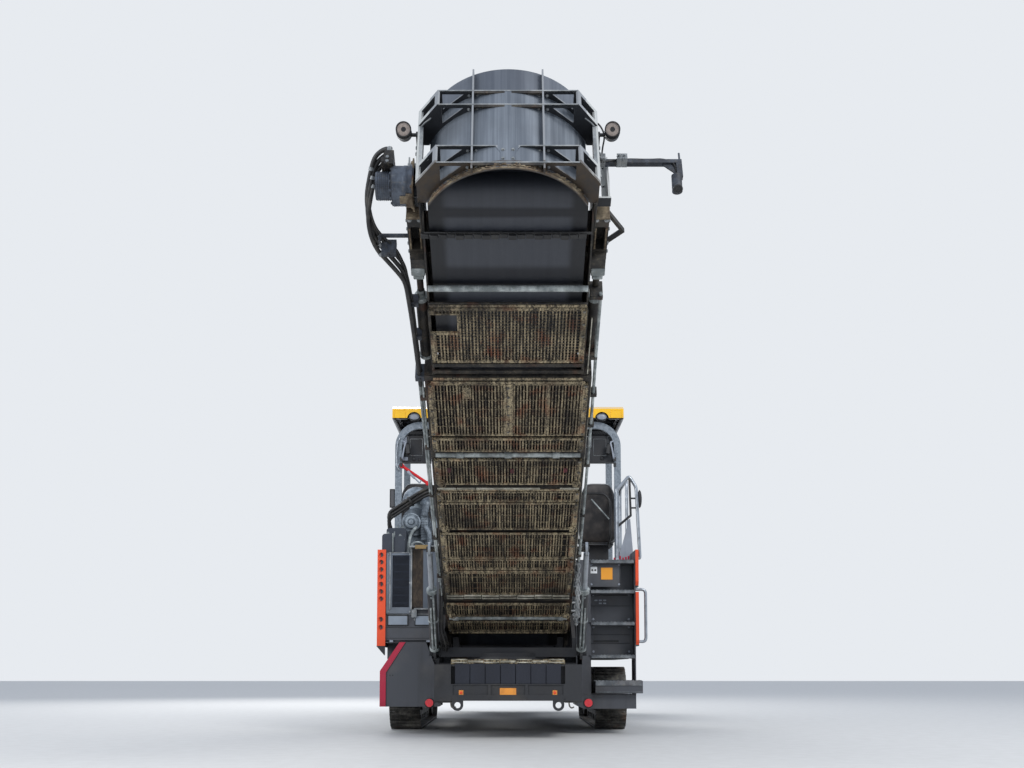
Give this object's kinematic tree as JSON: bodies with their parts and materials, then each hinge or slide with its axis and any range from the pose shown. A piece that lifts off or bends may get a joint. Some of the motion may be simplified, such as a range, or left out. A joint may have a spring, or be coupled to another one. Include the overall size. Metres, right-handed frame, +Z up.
{
  "type": "material transfer vehicle",
  "caption": "Tracked material transfer vehicle for road paving: tipping hopper with wings at the front, feed conveyor, slewing and lifting discharge conveyor with hood at the rear, driver's platform with roof",
  "frame": {"origin": "on the ground, below the middle of the vehicle's length and width", "axes": "+X towards the hopper and push rollers at the front, +Y towards the vehicle's left side, +Z up"},
  "size_m": [14.5398, 3.554, 4.8117],
  "materials": {
    "panel_grey": "satin paint, dusty",
    "dark_frame": "matte paint, grimy",
    "grimy_frame": "matte paint under tar and dust",
    "guard_brown": "matte, dusty brown",
    "rusty_plate": "rusty steel plate",
    "hood_grey": "streaked grey steel",
    "drive_grey": "satin",
    "light_grey": "satin",
    "red_paint": "gloss paint",
    "exhaust_steel": "heat-proof matte paint",
    "cast_block": "painted cast iron",
    "cylinder_grey": "satin paint",
    "rod_chrome": "hard chrome",
    "rail_chrome": "bright tube",
    "galvanised": "galvanised",
    "roller_steel": "worn steel",
    "ring_steel": "machined, greased",
    "track_steel": "worn and dusty steel",
    "belt_rubber": "satin black rubber",
    "drum_rubber": "rubber lagging",
    "hose_rubber": "black rubber hose",
    "black_rubber": "matte rubber",
    "black_plastic": "matte",
    "console_plastic": "matte",
    "yellow_plastic": "yellow gel coat",
    "seat_leather": "black leatherette",
    "red_lens": "clear red lens",
    "white_sign": "blank plate"
  },
  "bodies": {
    "chassis": {"main_frame": "dark_frame", "track_carriages": "track_steel", "track_left": "track_steel", "track_right": "track_steel", "slew_ring": "ring_steel", "rear_fenders": "panel_grey", "fender_edge": "red_paint", "tail_lamps": "red_lens", "engine_housing": "panel_grey", "engine_block": "cast_block", "cooler": "panel_grey", "exhaust": "exhaust_steel", "service_boxes": "black_plastic", "tank_housing": "panel_grey", "fuel_tank": "dark_frame", "ladder": "panel_grey", "ladder_guard": "panel_grey", "signs": "white_sign", "handrails": "rail_chrome", "platform": "dark_frame", "seat_bases": "red_paint", "seats": "seat_leather", "console": "console_plastic", "roof_hoops": "galvanised", "roof": "yellow_plastic", "roof_lamps": "black_plastic", "hopper_sill": "panel_grey", "feed_trough": "dark_frame", "feed_belt": "belt_rubber", "feed_drums": "drum_rubber"},
    "turntable": {"turntable": "dark_frame"},
    "conveyor": {"conveyor_frame_lower": "grimy_frame", "conveyor_frame_upper": "grimy_frame", "conveyor_belt": "belt_rubber", "conveyor_drums": "drum_rubber", "guards": "guard_brown", "foot_hopper": "rusty_plate", "head_beams": "grimy_frame", "discharge_hood": "hood_grey", "belt_drive": "drive_grey", "head_hoses": "hose_rubber", "head_lamps": "black_plastic", "camera_arm": "light_grey"},
    "lift_barrel_left": {"lift_barrel_left": "cylinder_grey"},
    "lift_rod_left": {"lift_rod_left": "rod_chrome"},
    "lift_barrel_right": {"lift_barrel_right": "cylinder_grey"},
    "lift_rod_right": {"lift_rod_right": "rod_chrome"},
    "wing_left": {"hopper_wing_left": "panel_grey"},
    "wing_right": {"hopper_wing_right": "panel_grey"},
    "apron": {"hopper_apron": "black_rubber"},
    "push_beam": {"push_beam": "dark_frame"},
    "push_roller_left": {"push_roller_left": "roller_steel"},
    "push_roller_right": {"push_roller_right": "roller_steel"},
    "door_left_rear": {"door_left_rear": "panel_grey"},
    "door_left_front": {"door_left_front": "panel_grey"},
    "door_right_rear": {"door_right_rear": "panel_grey"},
    "door_right_front": {"door_right_front": "panel_grey"}
  },
  "joints": [
    {"name": "conveyor_slew", "type": "hinge", "parent": "chassis", "child": "turntable", "pos_m": [-1.16, 0, 0.86], "axis": [0, 0, 1], "range_deg": [-55, 55]},
    {"name": "conveyor_lift", "type": "hinge", "parent": "turntable", "child": "conveyor", "pos_m": [-0.9, 0, 1.25], "axis": [0, 1, 0], "range_deg": [-18, 2]},
    {"name": "lift_barrel_left_turn", "type": "hinge", "parent": "turntable", "child": "lift_barrel_left", "pos_m": [-1.45, 0.782, 0.9], "axis": [0, 1, 0], "range_deg": [-22, 3]},
    {"name": "lift_rod_left_slide", "type": "slide", "parent": "lift_barrel_left", "child": "lift_rod_left", "axis": [-0.7235, 0, 0.6903], "range_m": [-0.2, 0.03]},
    {"name": "lift_barrel_right_turn", "type": "hinge", "parent": "turntable", "child": "lift_barrel_right", "pos_m": [-1.45, -0.782, 0.9], "axis": [0, 1, 0], "range_deg": [-22, 3]},
    {"name": "lift_rod_right_slide", "type": "slide", "parent": "lift_barrel_right", "child": "lift_rod_right", "axis": [-0.7235, 0, 0.6903], "range_m": [-0.2, 0.03]},
    {"name": "wing_left_fold", "type": "hinge", "parent": "chassis", "child": "wing_left", "pos_m": [5.65, 0.905, 0.85], "axis": [1, 0, 0], "range_deg": [0, 50]},
    {"name": "wing_right_fold", "type": "hinge", "parent": "chassis", "child": "wing_right", "pos_m": [5.65, -0.905, 0.85], "axis": [-1, 0, 0], "range_deg": [0, 50]},
    {"name": "apron_tip", "type": "hinge", "parent": "chassis", "child": "apron", "pos_m": [6.935, 0, 0.575], "axis": [0, 1, 0], "range_deg": [0, 60]},
    {"name": "push_beam_sway", "type": "hinge", "parent": "chassis", "child": "push_beam", "pos_m": [7.005, 0, 0.44], "axis": [0, 0, 1], "range_deg": [-4, 4]},
    {"name": "push_roller_left_spin", "type": "hinge", "parent": "push_beam", "child": "push_roller_left", "pos_m": [7.17, 0.585, 0.44], "axis": [0, 1, 0], "continuous": true},
    {"name": "push_roller_right_spin", "type": "hinge", "parent": "push_beam", "child": "push_roller_right", "pos_m": [7.17, -0.585, 0.44], "axis": [0, 1, 0], "continuous": true},
    {"name": "door_left_rear_open", "type": "hinge", "parent": "chassis", "child": "door_left_rear", "pos_m": [0.785, 1.4793, 1.5], "axis": [0, 0, -1], "range_deg": [0, 90]},
    {"name": "door_left_front_open", "type": "hinge", "parent": "chassis", "child": "door_left_front", "pos_m": [2.33, 1.4793, 1.4], "axis": [0, 0, -1], "range_deg": [0, 100]},
    {"name": "door_right_rear_open", "type": "hinge", "parent": "chassis", "child": "door_right_rear", "pos_m": [0.785, -1.4793, 1.5], "axis": [0, 0, 1], "range_deg": [0, 90]},
    {"name": "door_right_front_open", "type": "hinge", "parent": "chassis", "child": "door_right_front", "pos_m": [2.33, -1.4793, 1.4], "axis": [0, 0, 1], "range_deg": [0, 100]}
  ],
  "couplings": [
    {"joint": "lift_barrel_left_turn", "follows": "conveyor_lift", "ratio": 1.1723},
    {"joint": "lift_barrel_right_turn", "follows": "conveyor_lift", "ratio": 1.1723},
    {"joint": "lift_rod_left_slide", "follows": "conveyor_lift", "m_per_rad": 0.6027},
    {"joint": "lift_rod_right_slide", "follows": "conveyor_lift", "m_per_rad": 0.6027}
  ]
}
